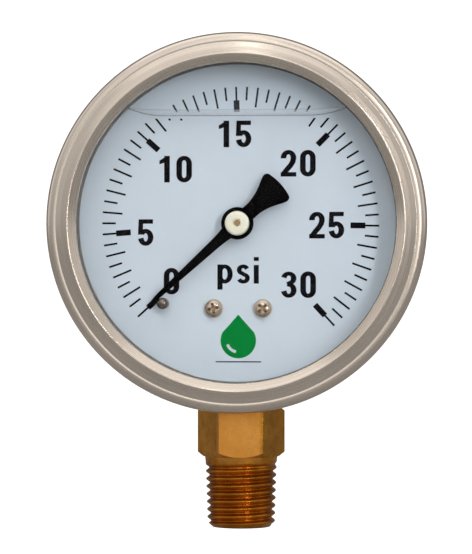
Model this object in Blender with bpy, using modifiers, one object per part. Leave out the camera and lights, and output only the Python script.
"""Liquid-filled pressure gauge: 63 mm nominal size, bottom connection with a 1/4-18 NPT thread.

It stands as it is used: X to the right of the dial, Y away from the reader, Z up, in metres.
The origin is the centre of the stem's bottom end. Constants and outlines are in millimetres, and
the functions under "Tools" turn them into metres.

Most pieces belong to the dial frame: its origin is the dial's centre, x is right, y is up and z is
the height towards the reader. Layers are given there as (low, high) heights.
"""

import math

import bmesh
import bpy

MM = 0.001
DEG = math.pi / 180

# Overall
DIAL_CENTRE_Z = 56.0
RING_STEPS = 48
SMALL_STEPS = 16
SCREW_STEPS = 12

# Case, bezel and window, as radii and heights in the dial frame
CASE_R = 31.5
CASE_WALL = 0.9
CASE_BACK = -13.0
CASE_CORNER = 1.8
FLANGE_R = 33.2
FLANGE = (10.0, 10.9)
BEZEL_R = 34.5
BEZEL_BORE_R = 33.6
BEZEL_EYE_R = 29.0
BEZEL_LIP = (9.15, 9.9)
BEZEL_LIP_R = 32.0
WINDOW_R = 32.8
WINDOW = (11.7, 14.0)
GASKET_R = (28.95, 32.9)
GASKET = (11.0, 11.6)

# Dial and what is on it
DIAL_R = 29.8
DIAL = (7.0, 7.5)
DIAL_SCREW_AT = (4.5, -15.5)
STOP_PIN_AT = (-13.7, -14.6)
STOP_PIN_R = 1.05
POINTER = (9.8, 10.2)
POINTER_AT_ZERO = 222.5 * DEG
POINTER_HUB_R = 2.95
POINTER_HOLE_R = 1.4
BUSHING_R = 2.23

# Stem, along the world's Z
HEX_FLATS = 14.0
HEX = (13.1, 22.3)
HEX_CORNER_R = 8.0
COLLAR_R = 6.9
NECK_R = 6.0
NECK_TOP = 26.7
THREAD_TOP = 11.2
THREAD_CHAMFER = 1.3
PITCH = 25.4 / 18
THREAD_END_R = 6.25
THREAD_TAPER = 1 / 32
THREAD_DEPTH = 0.85
INLET_R = 1.9
INLET_TOP = 28.0
CASE_HOLE_R = 7.2
PLUG_HOLE_R = 4.5

# The stem's block inside the case, as world heights and dial-frame layers
BLOCK_HALF_X = 6.5
SLAB_Z = (26.3, 30.3)
PAD_TOP = 38.3
TONGUE_TOP = 44.0
BLOCK = (-11.9, 6.8)
PAD_FRONT = -3.2
TONGUE_BACK = 4.6
CASE_SCREW_AT = (4.2, -26.2)

# Bourdon tube
TUBE_R = 23.0
TUBE_HALF_RADIAL = 1.6
TUBE_HALF_WIDTH = 3.5
TUBE_LAYER = -7.5
TUBE_WALL = 0.4
TUBE_TIP = -26.0 * DEG
TUBE_ROOT = 264.5 * DEG

# Movement
MODULE = 0.25
PINION_TEETH = 12
SECTOR_TEETH = 108
SECTOR_BACKLASH = 0.05
PINION_BACKLASH = 0.05
SECTOR_AT = (0.0, -MODULE * (PINION_TEETH + SECTOR_TEETH) / 2)
TAIL_LENGTH = 6.0
TAIL_ANGLE = -70.0 * DEG
TAIL_PIN_AT = (
    SECTOR_AT[0] + TAIL_LENGTH * math.cos(TAIL_ANGLE),
    SECTOR_AT[1] + TAIL_LENGTH * math.sin(TAIL_ANGLE),
)
TIP_PIN_AT = (13.4, -12.0)
POST_AT = (7.8, -9.0)
MOUNTING_SCREW_AT = (4.8, -19.2)
STUD_AT = (-5.2, 0.0)
BACK_PLATE = (-3.0, -2.0)
LINK = (0.1, 0.6)
SECTOR = (0.8, 1.7)
PINION = (0.6, 1.9)
HAIRSPRING = (2.1, 2.6)
FRONT_PLATE = (2.9, 3.9)
PIVOT_R = 0.4
PIVOT_HOLE_R = 0.5

GAP = 0.1


# Tools


def clear_scene():
    for obj in list(bpy.data.objects):
        bpy.data.objects.remove(obj, do_unlink=True)


def new_collection(name):
    collection = bpy.data.collections.new(name)
    bpy.context.scene.collection.children.link(collection)
    return collection


def new_material(name, colour, roughness, metallic=0.0, alpha=1.0):
    material = bpy.data.materials.new(name)
    material.use_nodes = True
    shader = material.node_tree.nodes["Principled BSDF"]
    shader.inputs["Base Color"].default_value = (*colour, 1.0)
    shader.inputs["Roughness"].default_value = roughness
    shader.inputs["Metallic"].default_value = metallic
    shader.inputs["Alpha"].default_value = alpha
    material.diffuse_color = (*colour, alpha)
    return material


def new_frame(name, parent=None, at=(0.0, 0.0, 0.0), tilt=0.0):
    """An empty that pieces hang on: a joint's axis, or the dial's own frame."""
    frame = bpy.data.objects.new(name, None)
    frame.parent = parent
    frame.location = [value * MM for value in at]
    frame.rotation_euler = (tilt, 0.0, 0.0)
    frame.empty_display_size = 5 * MM
    parts.objects.link(frame)
    return frame


def add(name, data, material, parent, at=(0.0, 0.0, 0.0), turn=0.0):
    obj = bpy.data.objects.new(name, data)
    obj.parent = parent
    obj.location = [value * MM for value in at]
    obj.rotation_euler = (0.0, 0.0, turn)
    parts.objects.link(obj)
    if material and not data.materials:
        data.materials.append(material)
    return obj


def turned(name, outline, material, parent, at=(0.0, 0.0, 0.0), steps=SMALL_STEPS, closed=False,
           sweep=2 * math.pi, turn=0.0):
    """Turns (radius, height) points about the local Z axis."""
    mesh = bpy.data.meshes.new(name)
    count = len(outline)
    edges = [(i, i + 1) for i in range(count - 1)]
    if closed:
        edges.append((count - 1, 0))
    mesh.from_pydata([(r * MM, 0.0, z * MM) for r, z in outline], edges, [])
    obj = add(name, mesh, material, parent, at, turn)
    screw = obj.modifiers.new("Turn", "SCREW")
    screw.angle = sweep
    screw.steps = screw.render_steps = steps
    screw.use_merge_vertices = True
    screw.merge_threshold = 1e-6
    return obj


def flat(name, outlines, layer, material, parent, at=(0.0, 0.0), turn=0.0):
    """A flat piece between two heights: the first outline is its edge, the others are holes."""
    curve = bpy.data.curves.new(name, "CURVE")
    curve.dimensions = "2D"
    curve.fill_mode = "BOTH"
    curve.extrude = (layer[1] - layer[0]) / 2 * MM
    for outline in outlines:
        spline = curve.splines.new("POLY")
        spline.points.add(len(outline) - 1)
        spline.use_cyclic_u = True
        for point, (x, y) in zip(spline.points, outline):
            point.co = (x * MM, y * MM, 0.0, 1.0)
    return add(name, curve, material, parent, (*at, (layer[0] + layer[1]) / 2), turn)


def block(name, low, high, material, parent):
    """A box between two corners."""
    mesh = bpy.data.meshes.new(name)
    shape = bmesh.new()
    bmesh.ops.create_cube(shape, size=1.0)
    for vert in shape.verts:
        for i in range(3):
            vert.co[i] = ((low[i] + high[i]) / 2 + vert.co[i] * (high[i] - low[i])) * MM
    shape.to_mesh(mesh)
    shape.free()
    return add(name, mesh, material, parent)


def baked(obj):
    """The object as a closed mesh with its modifiers applied, so that it can take a Boolean."""
    bpy.context.view_layer.update()
    graph = bpy.context.evaluated_depsgraph_get()
    mesh = bpy.data.meshes.new_from_object(obj.evaluated_get(graph))
    shape = bmesh.new()
    shape.from_mesh(mesh)
    bmesh.ops.remove_doubles(shape, verts=shape.verts, dist=1e-7)
    shape.to_mesh(mesh)
    shape.free()
    name, parent, basis = obj.name, obj.parent, obj.matrix_basis.copy()
    bpy.data.objects.remove(obj, do_unlink=True)
    solid = bpy.data.objects.new(name, mesh)
    solid.parent = parent
    solid.matrix_basis = basis
    parts.objects.link(solid)
    return solid


def boolean(obj, other, operation):
    """Adds a Boolean to the object and moves the other solid to the cutters."""
    other.name = obj.name + "_" + other.name
    parts.objects.unlink(other)
    cutters.objects.link(other)
    other.hide_render = True
    other.display_type = "WIRE"
    modifier = obj.modifiers.new(other.name, "BOOLEAN")
    modifier.operation = operation
    modifier.solver = "EXACT"
    modifier.object = other
    return obj


def cut(obj, cutter):
    return boolean(obj, cutter, "DIFFERENCE")


def join(obj, other):
    return boolean(obj, other, "UNION")


def rod(name, radius, low, high, parent, at=(0.0, 0.0), steps=SMALL_STEPS, material=None):
    outline = [(0.0, high), (radius, high), (radius, low), (0.0, low)]
    return turned(name, outline, material, parent, (*at, 0.0), steps)


def ring(name, inner, outer, low, high, material, parent, at=(0.0, 0.0), steps=SMALL_STEPS):
    outline = [(inner, high), (outer, high), (outer, low), (inner, low)]
    return turned(name, outline, material, parent, (*at, 0.0), steps, closed=True)


# Outlines


def polar(radius, angle, centre=(0.0, 0.0)):
    return centre[0] + radius * math.cos(angle), centre[1] + radius * math.sin(angle)


def arc(centre, radius, start, end, count):
    return [polar(radius, start + (end - start) * i / count, centre) for i in range(count + 1)]


def circle(centre, radius, count=SMALL_STEPS):
    return arc(centre, radius, 0.0, 2 * math.pi, count)[:-1]


def capsule(start, end, radius, count=8):
    heading = math.atan2(end[1] - start[1], end[0] - start[0])
    quarter = math.pi / 2
    return arc(end, radius, heading - quarter, heading + quarter, count) + arc(
        start, radius, heading + quarter, heading + 3 * quarter, count
    )


def mirrored(right_side):
    """A closed outline from its right-hand half, listed from the top down."""
    return right_side + [(-x, y) for x, y in reversed(right_side)]


def involute(angle):
    return math.tan(angle) - angle


def tooth(teeth, addendum, dedendum, backlash, centre_angle, flank_steps=3):
    """One gear tooth's outline about the origin, from its right root to its left root."""
    pitch_r = MODULE * teeth / 2
    base_r = pitch_r * math.cos(20 * DEG)
    tip_r = pitch_r + addendum * MODULE
    root_r = pitch_r - dedendum * MODULE
    half_at_pitch = math.pi / (2 * teeth) - backlash / (2 * pitch_r)
    start_r = max(base_r, root_r)
    flank = []
    for i in range(flank_steps + 1):
        radius = start_r + (tip_r - start_r) * i / flank_steps
        pressure = math.acos(min(1.0, base_r / radius))
        half = half_at_pitch + involute(20 * DEG) - involute(pressure)
        flank.append((radius, half))
    if root_r < base_r:
        flank.insert(0, (root_r, flank[0][1]))
    right = [polar(radius, centre_angle - half) for radius, half in flank]
    left = [polar(radius, centre_angle + half) for radius, half in reversed(flank)]
    return right + left


# Case


def make_case():
    inner = CASE_R - CASE_WALL
    floor = CASE_BACK + CASE_WALL
    outline = [
        (0.0, floor),
        (inner - 1.0, floor),
        (inner, floor + 1.0),
        (inner, FLANGE[1]),
        (FLANGE_R, FLANGE[1]),
        (FLANGE_R, FLANGE[0]),
        (CASE_R, FLANGE[0]),
        (CASE_R, CASE_BACK + CASE_CORNER),
        (CASE_R - CASE_CORNER * 0.3, CASE_BACK + CASE_CORNER * 0.3),
        (CASE_R - CASE_CORNER, CASE_BACK),
        (0.0, CASE_BACK),
    ]
    case = turned("case_shell", outline, stainless, dial_frame, steps=RING_STEPS)
    cut(case, rod("socket_hole", CASE_HOLE_R, 20.0, 30.0, None, steps=24))
    cut(case, rod("plug_hole", PLUG_HOLE_R, 80.0, 92.0, None, steps=24))
    for side in (-1, 1):
        at = (side * CASE_SCREW_AT[0], CASE_SCREW_AT[1])
        cut(case, rod("screw_hole", 1.4, CASE_BACK - 1, CASE_BACK + 2, dial_frame, at))


def make_bezel():
    outline = [
        (BEZEL_EYE_R, 14.1),
        (BEZEL_EYE_R, 14.8),
        (29.5, 15.5),
        (30.1, 16.2),
        (30.5, 16.35),
        (30.9, 16.25),
        (32.35, 15.35),
        (32.5, 14.95),
        (32.7, 15.3),
        (33.0, 15.45),
        (33.7, 15.2),
        (34.3, 14.4),
        (BEZEL_R, 13.5),
        (BEZEL_R, BEZEL_LIP[0] + 0.5),
        (BEZEL_R - 0.5, BEZEL_LIP[0]),
        (BEZEL_LIP_R, BEZEL_LIP[0]),
        (BEZEL_LIP_R, BEZEL_LIP[1]),
        (BEZEL_BORE_R, BEZEL_LIP[1]),
        (BEZEL_BORE_R, 13.9),
        (BEZEL_BORE_R - 0.2, 14.1),
    ]
    turned("bezel_ring", outline, stainless, dial_frame, steps=RING_STEPS, closed=True)


def make_window():
    edge = 0.3
    outline = [
        (0.0, WINDOW[1]),
        (WINDOW_R - edge, WINDOW[1]),
        (WINDOW_R, WINDOW[1] - edge),
        (WINDOW_R, WINDOW[0] + edge),
        (WINDOW_R - edge, WINDOW[0]),
        (0.0, WINDOW[0]),
    ]
    turned("window", outline, clear_plastic, dial_frame, steps=RING_STEPS)
    ring("window_gasket", *GASKET_R, *GASKET, black_rubber, dial_frame, steps=RING_STEPS)


def make_fill_plug():
    """A rubber plug pushed into the case's top, with a lip inside and a domed head outside."""
    outside = DIAL_CENTRE_Z + CASE_R + 0.15
    inside = DIAL_CENTRE_Z + math.sqrt((CASE_R - CASE_WALL) ** 2 - 5.0**2) - 0.15
    outline = [
        (0.0, outside + 1.2),
        (4.0, outside + 1.1),
        (5.4, outside + 0.6),
        (5.6, outside),
        (PLUG_HOLE_R - 0.2, outside),
        (PLUG_HOLE_R - 0.2, inside),
        (5.0, inside),
        (4.6, inside - 1.2),
        (0.0, inside - 1.2),
    ]
    turned("fill_plug", outline, black_rubber, None, steps=24)


# Screws


def screw_mesh(name, head_r, head_height, shank_r, length, crossed):
    """A screw whose head sits on height 0, with a cross or a slot in its head."""
    outline = [
        (0.0, head_height),
        (head_r * 0.62, head_height * 0.93),
        (head_r * 0.9, head_height * 0.62),
        (head_r, head_height * 0.25),
        (head_r * 0.97, 0.0),
        (shank_r, 0.0),
        (shank_r, -length + 0.4),
        (shank_r * 0.7, -length),
        (0.0, -length),
    ]
    screw = turned(name, outline, screw_steel, None, steps=SCREW_STEPS)
    half_length = head_r * (0.6 if crossed else 1.2)
    half_width = head_r * 0.14
    floor = head_height * (0.35 if crossed else 0.5)
    slots = [(half_length, half_width)]
    if crossed:
        slots.append((half_width, half_length))
    for x, y in slots:
        cut(screw, block("slot", (-x, -y, floor), (x, y, head_height + 1), None, None))
    solid = baked(screw)
    mesh = solid.data
    bpy.data.objects.remove(solid, do_unlink=True)
    return mesh


def place_pair(name, mesh, frame, at, height, turns=(0.0, 0.0), flip=False):
    """A left and a right copy of one screw, seated at a height in the dial frame."""
    for side, label, turn in ((-1, "left", turns[0]), (1, "right", turns[1])):
        obj = add(f"{name}_{label}", mesh, None, frame, (side * at[0], at[1], height), turn)
        if flip:
            obj.rotation_euler.x = math.pi


def make_screws():
    dial_screw = screw_mesh("dial_screw", 1.75, 1.4, 0.9, 2.6, True)
    place_pair("dial_screw", dial_screw, dial_frame, DIAL_SCREW_AT, DIAL[1] + GAP,
               (12 * DEG, 45 * DEG))
    case_screw = screw_mesh("case_screw", 2.4, 2.0, 1.1, 8.0, True)
    washer_top = CASE_BACK - GAP - 0.8
    place_pair("case_screw", case_screw, dial_frame, CASE_SCREW_AT, washer_top - GAP, flip=True)
    for side, label in ((-1, "left"), (1, "right")):
        at = (side * CASE_SCREW_AT[0], CASE_SCREW_AT[1])
        ring(f"case_washer_{label}", 1.3, 2.7, washer_top, CASE_BACK - GAP, fibre, dial_frame, at)
    plate_screw = screw_mesh("movement_screw", 1.3, 1.0, 0.6, 3.6, False)
    place_pair("movement_screw", plate_screw, dial_frame, POST_AT, FRONT_PLATE[1] + GAP,
               (20 * DEG, 75 * DEG))
    mounting_screw = screw_mesh("mounting_screw", 1.4, 1.0, 0.8, 4.0, False)
    place_pair("mounting_screw", mounting_screw, dial_frame, MOUNTING_SCREW_AT,
               BACK_PLATE[1] + GAP, (50 * DEG, 100 * DEG))


# Stem


def stem_outline():
    """The turned body from its top down: neck, core of the hexagon, collar and tapered thread."""
    outline = [
        (0.0, NECK_TOP),
        (NECK_R, NECK_TOP),
        (NECK_R, HEX[1] - 0.5),
        (COLLAR_R, HEX[1] - 1.0),
        (COLLAR_R, THREAD_TOP + 1.2),
        (THREAD_END_R + THREAD_TOP * THREAD_TAPER, THREAD_TOP),
    ]
    crest = THREAD_TOP - PITCH / 2
    while crest > THREAD_CHAMFER:
        crest_r = THREAD_END_R + crest * THREAD_TAPER
        outline += [
            (crest_r, crest + PITCH * 0.1),
            (crest_r, crest - PITCH * 0.1),
            (crest_r - THREAD_DEPTH, crest - PITCH * 0.45),
            (crest_r - THREAD_DEPTH, crest - PITCH * 0.55),
        ]
        crest -= PITCH
    return outline + [(THREAD_END_R - THREAD_DEPTH, 0.0), (0.0, 0.0)]


def make_hexagon():
    """The wrench hexagon, one flat to the front, with the corners of both ends chamfered."""
    mesh = bpy.data.meshes.new("hexagon")
    shape = bmesh.new()
    corner_r = HEX_FLATS / math.sqrt(3) * MM
    bmesh.ops.create_cone(
        shape, cap_ends=True, segments=6, radius1=corner_r, radius2=corner_r,
        depth=(HEX[1] - HEX[0]) * MM,
    )
    shape.to_mesh(mesh)
    shape.free()
    hexagon = add("hexagon", mesh, None, None, (0.0, 0.0, (HEX[0] + HEX[1]) / 2), 30 * DEG)
    flat_r = HEX_FLATS / 2
    rise = HEX_CORNER_R - flat_r
    chamfer = [
        (0.0, HEX[1] + 0.3),
        (flat_r - 0.3, HEX[1] + 0.3),
        (HEX_CORNER_R + 0.5, HEX[1] - rise - 0.5),
        (HEX_CORNER_R + 0.5, HEX[0] + rise + 0.5),
        (flat_r - 0.3, HEX[0] - 0.3),
        (0.0, HEX[0] - 0.3),
    ]
    boolean(hexagon, turned("chamfer", chamfer, None, None, steps=24), "INTERSECT")
    return baked(hexagon)


def tube_section(offset):
    """The flattened tube's section as (radius, height) points, grown by an offset."""
    end_r = TUBE_HALF_RADIAL + offset
    straight = TUBE_HALF_WIDTH - TUBE_HALF_RADIAL
    upper = arc((TUBE_R, TUBE_LAYER + straight), end_r, math.pi, 0.0, 4)
    lower = arc((TUBE_R, TUBE_LAYER - straight), end_r, 0.0, -math.pi, 4)
    return upper + lower


def tube_seat():
    """The hole that the tube's fixed end sits in, running from the block's left side."""
    turn = 244 * DEG
    sweep = TUBE_ROOT + 1.5 * DEG - turn
    seat = turned("tube_seat", tube_section(GAP), None, dial_frame, steps=6, closed=True,
                  sweep=sweep, turn=turn)
    seat = baked(seat)
    shape = bmesh.new()
    shape.from_mesh(seat.data)
    bmesh.ops.holes_fill(shape, edges=shape.edges)
    bmesh.ops.recalc_face_normals(shape, faces=shape.faces)
    shape.to_mesh(seat.data)
    shape.free()
    return seat


def make_socket():
    """The brass stem and the block that carries the tube, the movement and the dial."""
    socket = turned("socket", stem_outline(), brass, None, steps=24)
    join(socket, make_hexagon())
    front, back = -BLOCK[1], -BLOCK[0]
    x = BLOCK_HALF_X
    join(socket, block("slab", (-x, front, SLAB_Z[0]), (x, back - 1, SLAB_Z[1]), None, None))
    join(socket, block("pad", (-x, -PAD_FRONT, SLAB_Z[0] + 1), (x, back, PAD_TOP), None, None))
    tongue_top = (x, -TONGUE_BACK, TONGUE_TOP)
    join(socket, block("tongue", (-x, front + 0.05, SLAB_Z[0] + 1), tongue_top, None, None))
    drill = [(0.0, INLET_TOP), (INLET_R, INLET_TOP - 1.1), (INLET_R, -1.0), (0.0, -1.0)]
    cut(socket, turned("inlet", drill, None, None))
    cut(socket, block("passage", (-0.7, -0.5, 27.0), (0.7, 8.2, 28.2), None, None))
    cut(socket, block("riser", (-0.7, 6.9, 27.4), (0.7, 8.1, 33.6), None, None))
    cut(socket, block("crossing", (-3.0, 7.0, 32.2), (0.5, 8.0, 33.5), None, None))
    cut(socket, tube_seat())
    for side in (-1, 1):
        at = (side * DIAL_SCREW_AT[0], DIAL_SCREW_AT[1])
        cut(socket, rod("dial_screw_hole", 1.0, TONGUE_BACK - 1, BLOCK[1] + 1, dial_frame, at))
        at = (side * MOUNTING_SCREW_AT[0], MOUNTING_SCREW_AT[1])
        cut(socket, rod("mounting_hole", 0.9, PAD_FRONT - 3.4, PAD_FRONT + 1, dial_frame, at))
        at = (side * CASE_SCREW_AT[0], CASE_SCREW_AT[1])
        cut(socket, rod("case_screw_hole", 1.25, BLOCK[0] - 1, BLOCK[0] + 6.4, dial_frame, at))


def make_stem_fittings():
    seal_r = (NECK_R + CASE_HOLE_R) / 2
    section = circle((seal_r, 25.2), seal_r - NECK_R - 0.13, 8)
    turned("socket_seal", section[::-1], black_rubber, None, steps=24, closed=True)
    restrictor = ring("restrictor_screw", 0.35, INLET_R - 0.2, 3.0, 7.0, brass, None)
    cut(restrictor, block("slot", (-3, -0.3, 2.5), (3, 0.3, 3.8), None, None))


# Pressure element


def make_tube():
    tube = turned("bourdon_tube", tube_section(0.0), bronze, dial_frame, steps=32, closed=True,
                  sweep=TUBE_ROOT - TUBE_TIP, turn=TUBE_TIP)
    wall = tube.modifiers.new("Wall", "SOLIDIFY")
    wall.thickness = TUBE_WALL * MM
    wall.offset = -1.0
    wall.use_even_offset = True


def make_end_piece():
    """The cap on the tube's free end, with an arm that reaches the link's pin."""
    near, far = TUBE_TIP - 0.5 * DEG, TUBE_TIP - 7 * DEG
    inner, outer = TUBE_R - 2.1, TUBE_R + 2.1
    cap_outline = [polar(inner, near), polar(inner, far), polar(outer, far), polar(outer, near)]
    to_pivot = (-TIP_PIN_AT[0], -TIP_PIN_AT[1])
    arm_top = LINK[0] - 0.2
    cap_layer = (-11.3, arm_top + 0.1)
    cap = baked(flat("tube_end_piece", [cap_outline], cap_layer, bronze, tip_slide, to_pivot))
    outlines = [
        capsule(TIP_PIN_AT, polar(TUBE_R, TUBE_TIP - 4.5 * DEG), 1.3),
        circle(TIP_PIN_AT, 0.55),
    ]
    join(cap, baked(flat("arm", outlines, (arm_top - 1.4, arm_top), None, tip_slide, to_pivot)))
    pin = [
        (0.0, LINK[1] + 0.5), (0.8, LINK[1] + 0.5), (0.8, LINK[1] + GAP), (0.45, LINK[1] + GAP),
        (0.45, arm_top - 1.3), (0.0, arm_top - 1.3),
    ]
    turned("link_pin_tip", pin, screw_steel, tip_slide)


# Movement


def plate_outline(lugs):
    """One movement plate, wide at the posts, with the mounting lugs on the back plate only."""
    right_side = [(5.2, 3.4), (6.6, 2.0), (6.6, -4.2), (10.2, -7.2), (10.2, -11.0)]
    right_side += [(6.4, -15.2), (6.4, -20.9)] if lugs else [(6.4, -16.2), (5.4, -17.4)]
    return mirrored(right_side)


def make_plates():
    pivots = [circle((0.0, 0.0), PIVOT_HOLE_R), circle(SECTOR_AT, PIVOT_HOLE_R)]
    posts = [circle((side * POST_AT[0], POST_AT[1]), 0.8) for side in (-1, 1)]
    mounting = [
        circle((side * MOUNTING_SCREW_AT[0], MOUNTING_SCREW_AT[1]), 0.95) for side in (-1, 1)
    ]
    flat("movement_back_plate", [plate_outline(True)] + pivots + posts + mounting, BACK_PLATE,
         brass, dial_frame)
    arbor_hole = circle((0.0, 0.0), 0.85)
    stud_hole = circle(STUD_AT, 0.55)
    flat("movement_front_plate",
         [plate_outline(False), arbor_hole, pivots[1], stud_hole] + posts, FRONT_PLATE,
         brass, dial_frame)
    for side, label in ((-1, "left"), (1, "right")):
        bottom, top = BACK_PLATE[1] + GAP, FRONT_PLATE[0] - GAP
        post = [
            (0.7, top), (1.4, top), (1.4, bottom), (0.65, bottom), (0.65, BACK_PLATE[0] - 0.2),
            (0.0, BACK_PLATE[0] - 0.2), (0.0, top - 3.0), (0.7, top - 2.8),
        ]
        post = post[-2:] + post[:-2]
        turned(f"movement_post_{label}", post, brass, dial_frame,
               (side * POST_AT[0], POST_AT[1], 0.0))


def sector_outline():
    """Toothed rim, two arms and a hub, with a tail for the link, about the sector's own axis."""
    step = 2 * math.pi / SECTOR_TEETH
    centres = [math.pi / 2 + (i + 0.5) * step for i in range(-11, 2)]
    rim = [point for angle in centres
           for point in tooth(SECTOR_TEETH, 0.75, 1.3, SECTOR_BACKLASH, angle)]
    hub_r = 2.1
    right_edge = centres[0] - step / 2
    left_edge = centres[-1] + step / 2
    root_r = MODULE * (SECTOR_TEETH / 2 - 1.3)
    tail_pin = polar(TAIL_LENGTH, TAIL_ANGLE)
    quarter = math.pi / 2
    return (
        [polar(root_r, right_edge)]
        + rim
        + [polar(root_r, left_edge)]
        + [polar(10.6, left_edge)]
        + arc((0.0, 0.0), hub_r, left_edge + 22 * DEG, TAIL_ANGLE + 2 * math.pi - 42 * DEG, 8)
        + arc(tail_pin, 1.15, TAIL_ANGLE - quarter, TAIL_ANGLE + quarter, 8)
        + arc((0.0, 0.0), hub_r, TAIL_ANGLE + 42 * DEG, right_edge - 22 * DEG, 5)
        + [polar(10.6, right_edge)]
    )


def sector_window():
    """The gap between the sector's two arms."""
    step = 2 * math.pi / SECTOR_TEETH
    right = math.pi / 2 - 11 * step
    left = math.pi / 2 + 2 * step
    outer = arc((0.0, 0.0), 11.2, left - 8 * DEG, right + 8 * DEG, 6)
    inner = arc((0.0, 0.0), 4.2, right + 16 * DEG, left - 16 * DEG, 2)
    return outer + inner


def make_sector():
    outlines = [
        sector_outline(),
        sector_window(),
        circle((0.0, 0.0), 0.9),
        circle(polar(TAIL_LENGTH, TAIL_ANGLE), 0.55, 12),
    ]
    flat("sector_gear", outlines, SECTOR, brass, sector_pivot)
    arbor = [
        (0.0, FRONT_PLATE[1] + 0.3), (PIVOT_R, FRONT_PLATE[1] + 0.3),
        (PIVOT_R, FRONT_PLATE[0] - 0.2), (0.8, FRONT_PLATE[0] - 0.2), (0.8, SECTOR[0] - GAP),
        (1.3, SECTOR[0] - GAP), (1.3, SECTOR[0] - 0.6), (0.8, SECTOR[0] - 0.6),
        (0.8, BACK_PLATE[1] + 0.2), (PIVOT_R, BACK_PLATE[1] + 0.2),
        (PIVOT_R, BACK_PLATE[0] - 0.15), (0.0, BACK_PLATE[0] - 0.15),
    ]
    turned("sector_arbor", arbor, screw_steel, sector_pivot)
    x, y = polar(TAIL_LENGTH, TAIL_ANGLE)
    pin = [
        (0.0, SECTOR[1] + 0.2), (0.45, SECTOR[1] + 0.2), (0.45, LINK[0] - GAP),
        (0.85, LINK[0] - GAP), (0.85, LINK[0] - 0.5), (0.0, LINK[0] - 0.5),
    ]
    turned("link_pin_tail", pin, screw_steel, sector_pivot, (x, y, 0.0))


def make_link():
    far = (TIP_PIN_AT[0] - TAIL_PIN_AT[0], TIP_PIN_AT[1] - TAIL_PIN_AT[1])
    outlines = [capsule((0.0, 0.0), far, 1.2), circle((0.0, 0.0), 0.55), circle(far, 0.75)]
    flat("link", outlines, LINK, brass, link_pivot)


def make_pinion():
    arbor = [
        (0.0, 10.9), (0.45, 10.9), (0.5, 8.3), (0.7, 8.0), (0.7, BACK_PLATE[1] + 0.2),
        (PIVOT_R, BACK_PLATE[1] + 0.2), (PIVOT_R, BACK_PLATE[0] - 0.15),
        (0.0, BACK_PLATE[0] - 0.15),
    ]
    pinion = turned("pinion_arbor", arbor, screw_steel, pointer_pivot)
    step = 2 * math.pi / PINION_TEETH
    outline = [point for i in range(PINION_TEETH)
               for point in tooth(PINION_TEETH, 0.9, 1.15, PINION_BACKLASH, i * step - math.pi / 2)]
    join(pinion, baked(flat("teeth", [outline], PINION, None, pointer_pivot)))
    ring("hairspring_collet", 0.8, 1.4, HAIRSPRING[0] - 0.05, HAIRSPRING[1] + 0.05, brass,
         pointer_pivot)


def make_hairspring():
    """A flat spiral from the collet to the stud on the front plate."""
    turns, inner, outer = 4, 1.65, 4.55
    count = turns * 20
    curve = bpy.data.curves.new("hairspring", "CURVE")
    curve.dimensions = "3D"
    curve.bevel_depth = 0.12 * MM
    curve.bevel_resolution = 0
    curve.use_fill_caps = True
    spline = curve.splines.new("POLY")
    spline.points.add(count)
    for i, point in enumerate(spline.points):
        share = i / count
        x, y = polar(inner + (outer - inner) * share, math.pi + 2 * math.pi * turns * share)
        point.co = (x * MM, y * MM, 0.0, 1.0)
    add("hairspring", curve, bronze, dial_frame, (0.0, 0.0, sum(HAIRSPRING) / 2))
    rod("hairspring_stud", 0.45, HAIRSPRING[0] - 0.2, FRONT_PLATE[1] + 0.2, dial_frame, STUD_AT,
        material=brass)


# Dial and pointer


def make_dial():
    screws = [circle((side * DIAL_SCREW_AT[0], DIAL_SCREW_AT[1]), 1.1) for side in (-1, 1)]
    outlines = [
        circle((0.0, 0.0), DIAL_R, 72), circle((0.0, 0.0), 1.6), circle(STOP_PIN_AT, 0.75),
    ]
    flat("dial_plate", outlines + screws, DIAL, white_enamel, dial_frame)
    pin = [
        (0.0, 10.75), (0.5, 10.65), (0.9, 10.3), (STOP_PIN_R, 9.8), (STOP_PIN_R, DIAL[1] + GAP),
        (0.6, DIAL[1] + GAP), (0.6, DIAL[0] - 0.3), (0.0, DIAL[0] - 0.3),
    ]
    turned("stop_pin", pin, brass, dial_frame, (*STOP_PIN_AT, 0.0))


def pointer_outline():
    """The pointer along +X: a tapering blade, a round hub and a fan-shaped counterweight."""
    blade = [(21.9, 0.1), (20.4, 0.4), (19.2, 0.46), (5.3, 0.95)]
    tail = [(-4.2, 1.4), (-5.2, 1.56), (-6.3, 1.86), (-7.4, 2.32), (-8.5, 2.88)]
    tail += [(-9.3, 3.2), (-9.9, 3.15)]
    spread = 13.5 * DEG
    fan_end = arc((0.0, 0.0), 10.65, math.pi - spread, math.pi + spread, 8)
    hub = arc((0.0, 0.0), POINTER_HUB_R, 26 * DEG, 152 * DEG, 8)
    upper = blade + hub + tail
    return upper + fan_end + [(x, -y) for x, y in reversed(upper)]


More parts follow.
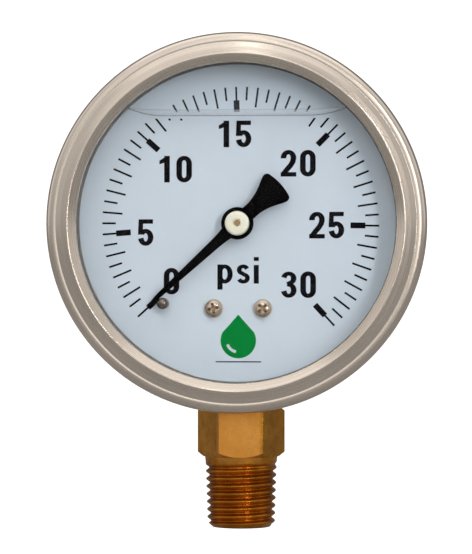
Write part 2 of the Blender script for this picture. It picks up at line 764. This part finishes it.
def make_pointer():
    outlines = [pointer_outline(), circle((0.0, 0.0), POINTER_HOLE_R)]
    flat("pointer", outlines, POINTER, black_paint, pointer_pivot, turn=POINTER_AT_ZERO)
    bushing = [
        (0.6, 11.2), (BUSHING_R - 0.2, 11.2), (BUSHING_R, 11.0), (BUSHING_R, POINTER[1] + GAP),
        (POINTER_HOLE_R - GAP, POINTER[1] + GAP), (POINTER_HOLE_R - GAP, 8.6), (0.6, 8.6),
    ]
    turned("pointer_bushing", bushing, brass, pointer_pivot, closed=True)


def shade_smooth():
    """Round pieces shade smooth, with their real edges kept sharp."""
    for obj in parts.objects:
        if obj.type == "MESH":
            obj.data.shade_smooth()
        for modifier in obj.modifiers:
            if modifier.type == "SCREW":
                modifier.use_smooth_shade = True


clear_scene()
parts = new_collection("pressure_gauge")
cutters = new_collection("cutters")

stainless = new_material("stainless", (0.55, 0.50, 0.45), 0.25, 1.0)
brass = new_material("brass", (0.75, 0.50, 0.20), 0.3, 1.0)
bronze = new_material("bronze", (0.62, 0.40, 0.20), 0.35, 1.0)
screw_steel = new_material("screw_steel", (0.62, 0.56, 0.48), 0.3, 1.0)
clear_plastic = new_material("clear_plastic", (0.95, 0.97, 1.0), 0.02, alpha=0.2)
black_rubber = new_material("black_rubber", (0.02, 0.02, 0.02), 0.7)
fibre = new_material("fibre", (0.25, 0.06, 0.03), 0.8)
white_enamel = new_material("white_enamel", (0.80, 0.84, 0.88), 0.45)
black_paint = new_material("black_paint", (0.02, 0.02, 0.02), 0.4)

dial_frame = new_frame("dial_frame", at=(0.0, 0.0, DIAL_CENTRE_Z), tilt=90 * DEG)
pointer_pivot = new_frame("pointer_pivot", dial_frame)
sector_pivot = new_frame("sector_pivot", dial_frame, (*SECTOR_AT, 0.0))
link_pivot = new_frame("link_pivot", dial_frame, (*TAIL_PIN_AT, 0.0))
tip_slide = new_frame("tip_slide", dial_frame, (*TIP_PIN_AT, 0.0))

make_case()
make_bezel()
make_window()
make_fill_plug()
make_screws()
make_socket()
make_stem_fittings()
make_tube()
make_end_piece()
make_plates()
make_sector()
make_link()
make_pinion()
make_hairspring()
make_dial()
make_pointer()
shade_smooth()
